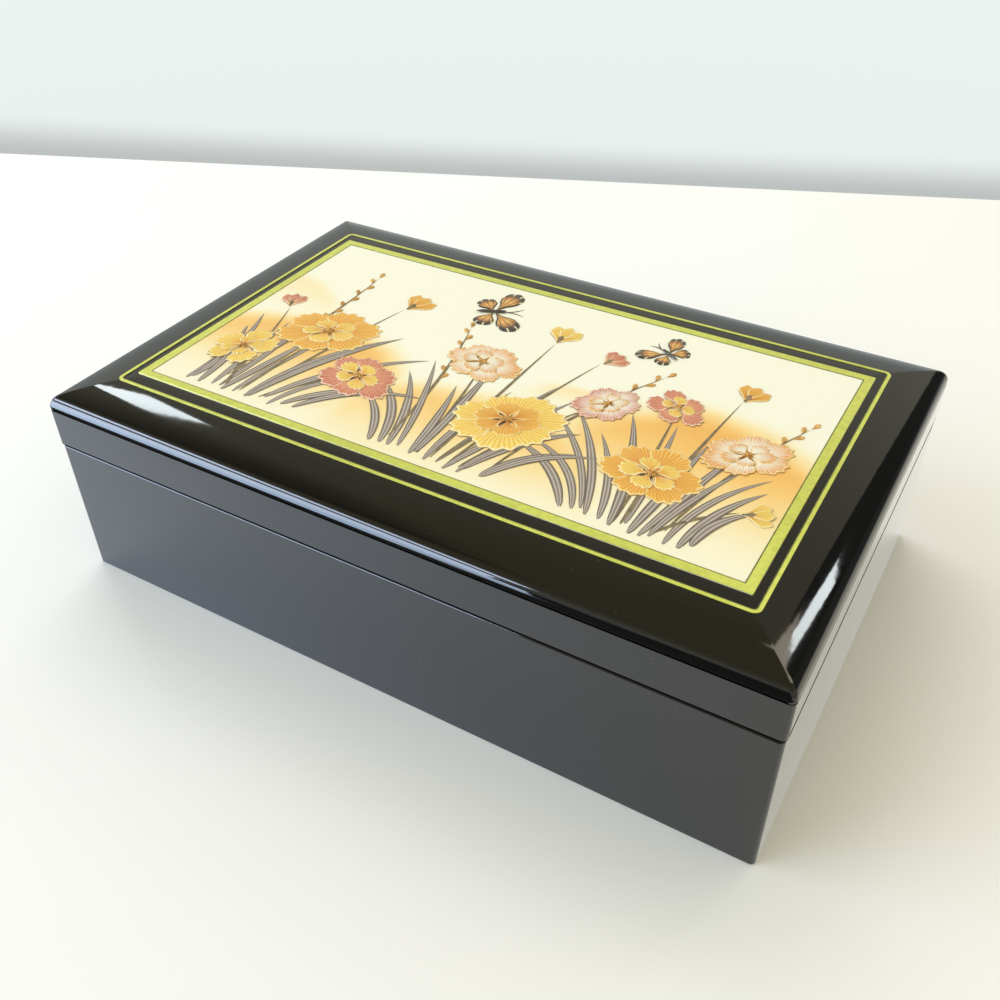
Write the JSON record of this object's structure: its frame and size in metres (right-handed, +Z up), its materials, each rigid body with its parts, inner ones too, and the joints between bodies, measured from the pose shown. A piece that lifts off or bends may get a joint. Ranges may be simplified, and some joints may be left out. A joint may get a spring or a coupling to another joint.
{
  "type": "musical jewelry box",
  "caption": "Hinged lacquered box with a relief picture in its rolled-edge lid, a mirror, a velvet tray with ring rolls and a wind-up cylinder musical movement.",
  "frame": {"origin": "centre of the bottom of the bounding box, on the surface the case stands on", "axes": "+X along the long side to the right seen from the front, +Y from the front to the hinge side, +Z up"},
  "size_m": [0.228, 0.1468, 0.0679],
  "materials": {
    "lacquered_wood": "black gloss lacquer on wood, polished",
    "picture_panel": "painted relief picture under clear gloss lacquer, gold-coloured border",
    "bottom_board": "thin board faced with dark flocked paper",
    "velvet": "deep red velvet on card",
    "ring_roll_velvet": "deep red velvet over foam",
    "mirror": "silvered glass with a ground edge",
    "clear_cover": "clear polished acrylic sheet",
    "brass_plated_hinge": "bright brass plate",
    "brass_works": "turned and stamped brass",
    "brass_key": "bright brass plate",
    "steel": "ground steel",
    "zinc_casting": "die casting, satin",
    "fan_plastic": "moulded plastic"
  },
  "bodies": {
    "base": {"base_case": "lacquered_wood", "bottom_board": "bottom_board", "floor_lining": "velvet", "wall_lining": "velvet", "divider_left": "velvet", "divider_rings": "velvet", "divider_middle": "velvet", "divider_right": "velvet", "well_wall": "velvet", "movement_cover": "clear_cover", "ring_roll_1": "ring_roll_velvet", "ring_roll_2": "ring_roll_velvet", "ring_roll_3": "ring_roll_velvet", "ring_roll_4": "ring_roll_velvet", "ring_roll_5": "ring_roll_velvet", "ring_roll_6": "ring_roll_velvet", "hinge_leaf_base": "brass_plated_hinge", "hinge_pin": "steel", "base_hinge_screw_1": "brass_plated_hinge", "base_hinge_screw_2": "brass_plated_hinge", "base_hinge_screw_3": "brass_plated_hinge", "base_hinge_screw_4": "brass_plated_hinge", "bedplate": "zinc_casting", "comb": "steel", "comb_screw_1": "steel", "comb_screw_2": "steel", "movement_screw_1": "steel", "movement_screw_2": "steel", "movement_screw_3": "steel", "governor_bracket": "brass_works"},
    "lid": {"lid_shell": "lacquered_wood", "picture_panel": "picture_panel", "mirror": "mirror", "mirror_frame": "velvet", "hinge_leaf_lid": "brass_plated_hinge", "lid_hinge_screw_1": "brass_plated_hinge", "lid_hinge_screw_2": "brass_plated_hinge", "lid_hinge_screw_3": "brass_plated_hinge", "lid_hinge_screw_4": "brass_plated_hinge"},
    "winding_key": {"winding_key": "brass_key", "winding_arbor": "steel"},
    "spring_barrel": {"spring_barrel": "brass_works"},
    "cylinder": {"cylinder": "brass_works", "cylinder_staff": "steel", "train_wheel": "brass_works"},
    "idler": {"idler_staff": "steel", "worm_wheel": "brass_works"},
    "governor": {"governor_worm": "steel", "governor_fan": "fan_plastic"},
    "stop_rod": {"stop_rod": "steel"}
  },
  "joints": [
    {"name": "lid_hinge", "type": "hinge", "parent": "base", "child": "lid", "pos_m": [0, 0.0676, 0.04785], "axis": [-1, 0, 0], "range_deg": [0, 95]},
    {"name": "stop_rod_slide", "type": "slide", "parent": "base", "child": "stop_rod", "axis": [0, 0, 1], "range_m": [0, 0.003]},
    {"name": "key_turn", "type": "hinge", "parent": "base", "child": "winding_key", "pos_m": [0.054, 0.038, 0.02], "axis": [0, 0, 1], "continuous": true},
    {"name": "barrel_turn", "type": "hinge", "parent": "base", "child": "spring_barrel", "pos_m": [0.054, 0.038, 0.02], "axis": [0, 0, 1], "continuous": true},
    {"name": "cylinder_turn", "type": "hinge", "parent": "base", "child": "cylinder", "pos_m": [0.078, 0.038, 0.03317], "axis": [1, 0, 0], "continuous": true},
    {"name": "idler_turn", "type": "hinge", "parent": "base", "child": "idler", "pos_m": [0.093, 0.04586, 0.02766], "axis": [1, 0, 0], "continuous": true},
    {"name": "governor_turn", "type": "hinge", "parent": "base", "child": "governor", "pos_m": [0.093, 0.05226, 0.02766], "axis": [0, 0, 1], "continuous": true}
  ],
  "couplings": [
    {"joint": "stop_rod_slide", "follows": "lid_hinge", "m_per_rad": 0.0018},
    {"joint": "cylinder_turn", "follows": "barrel_turn", "ratio": 3},
    {"joint": "idler_turn", "follows": "barrel_turn", "ratio": -9},
    {"joint": "governor_turn", "follows": "barrel_turn", "ratio": 144}
  ]
}
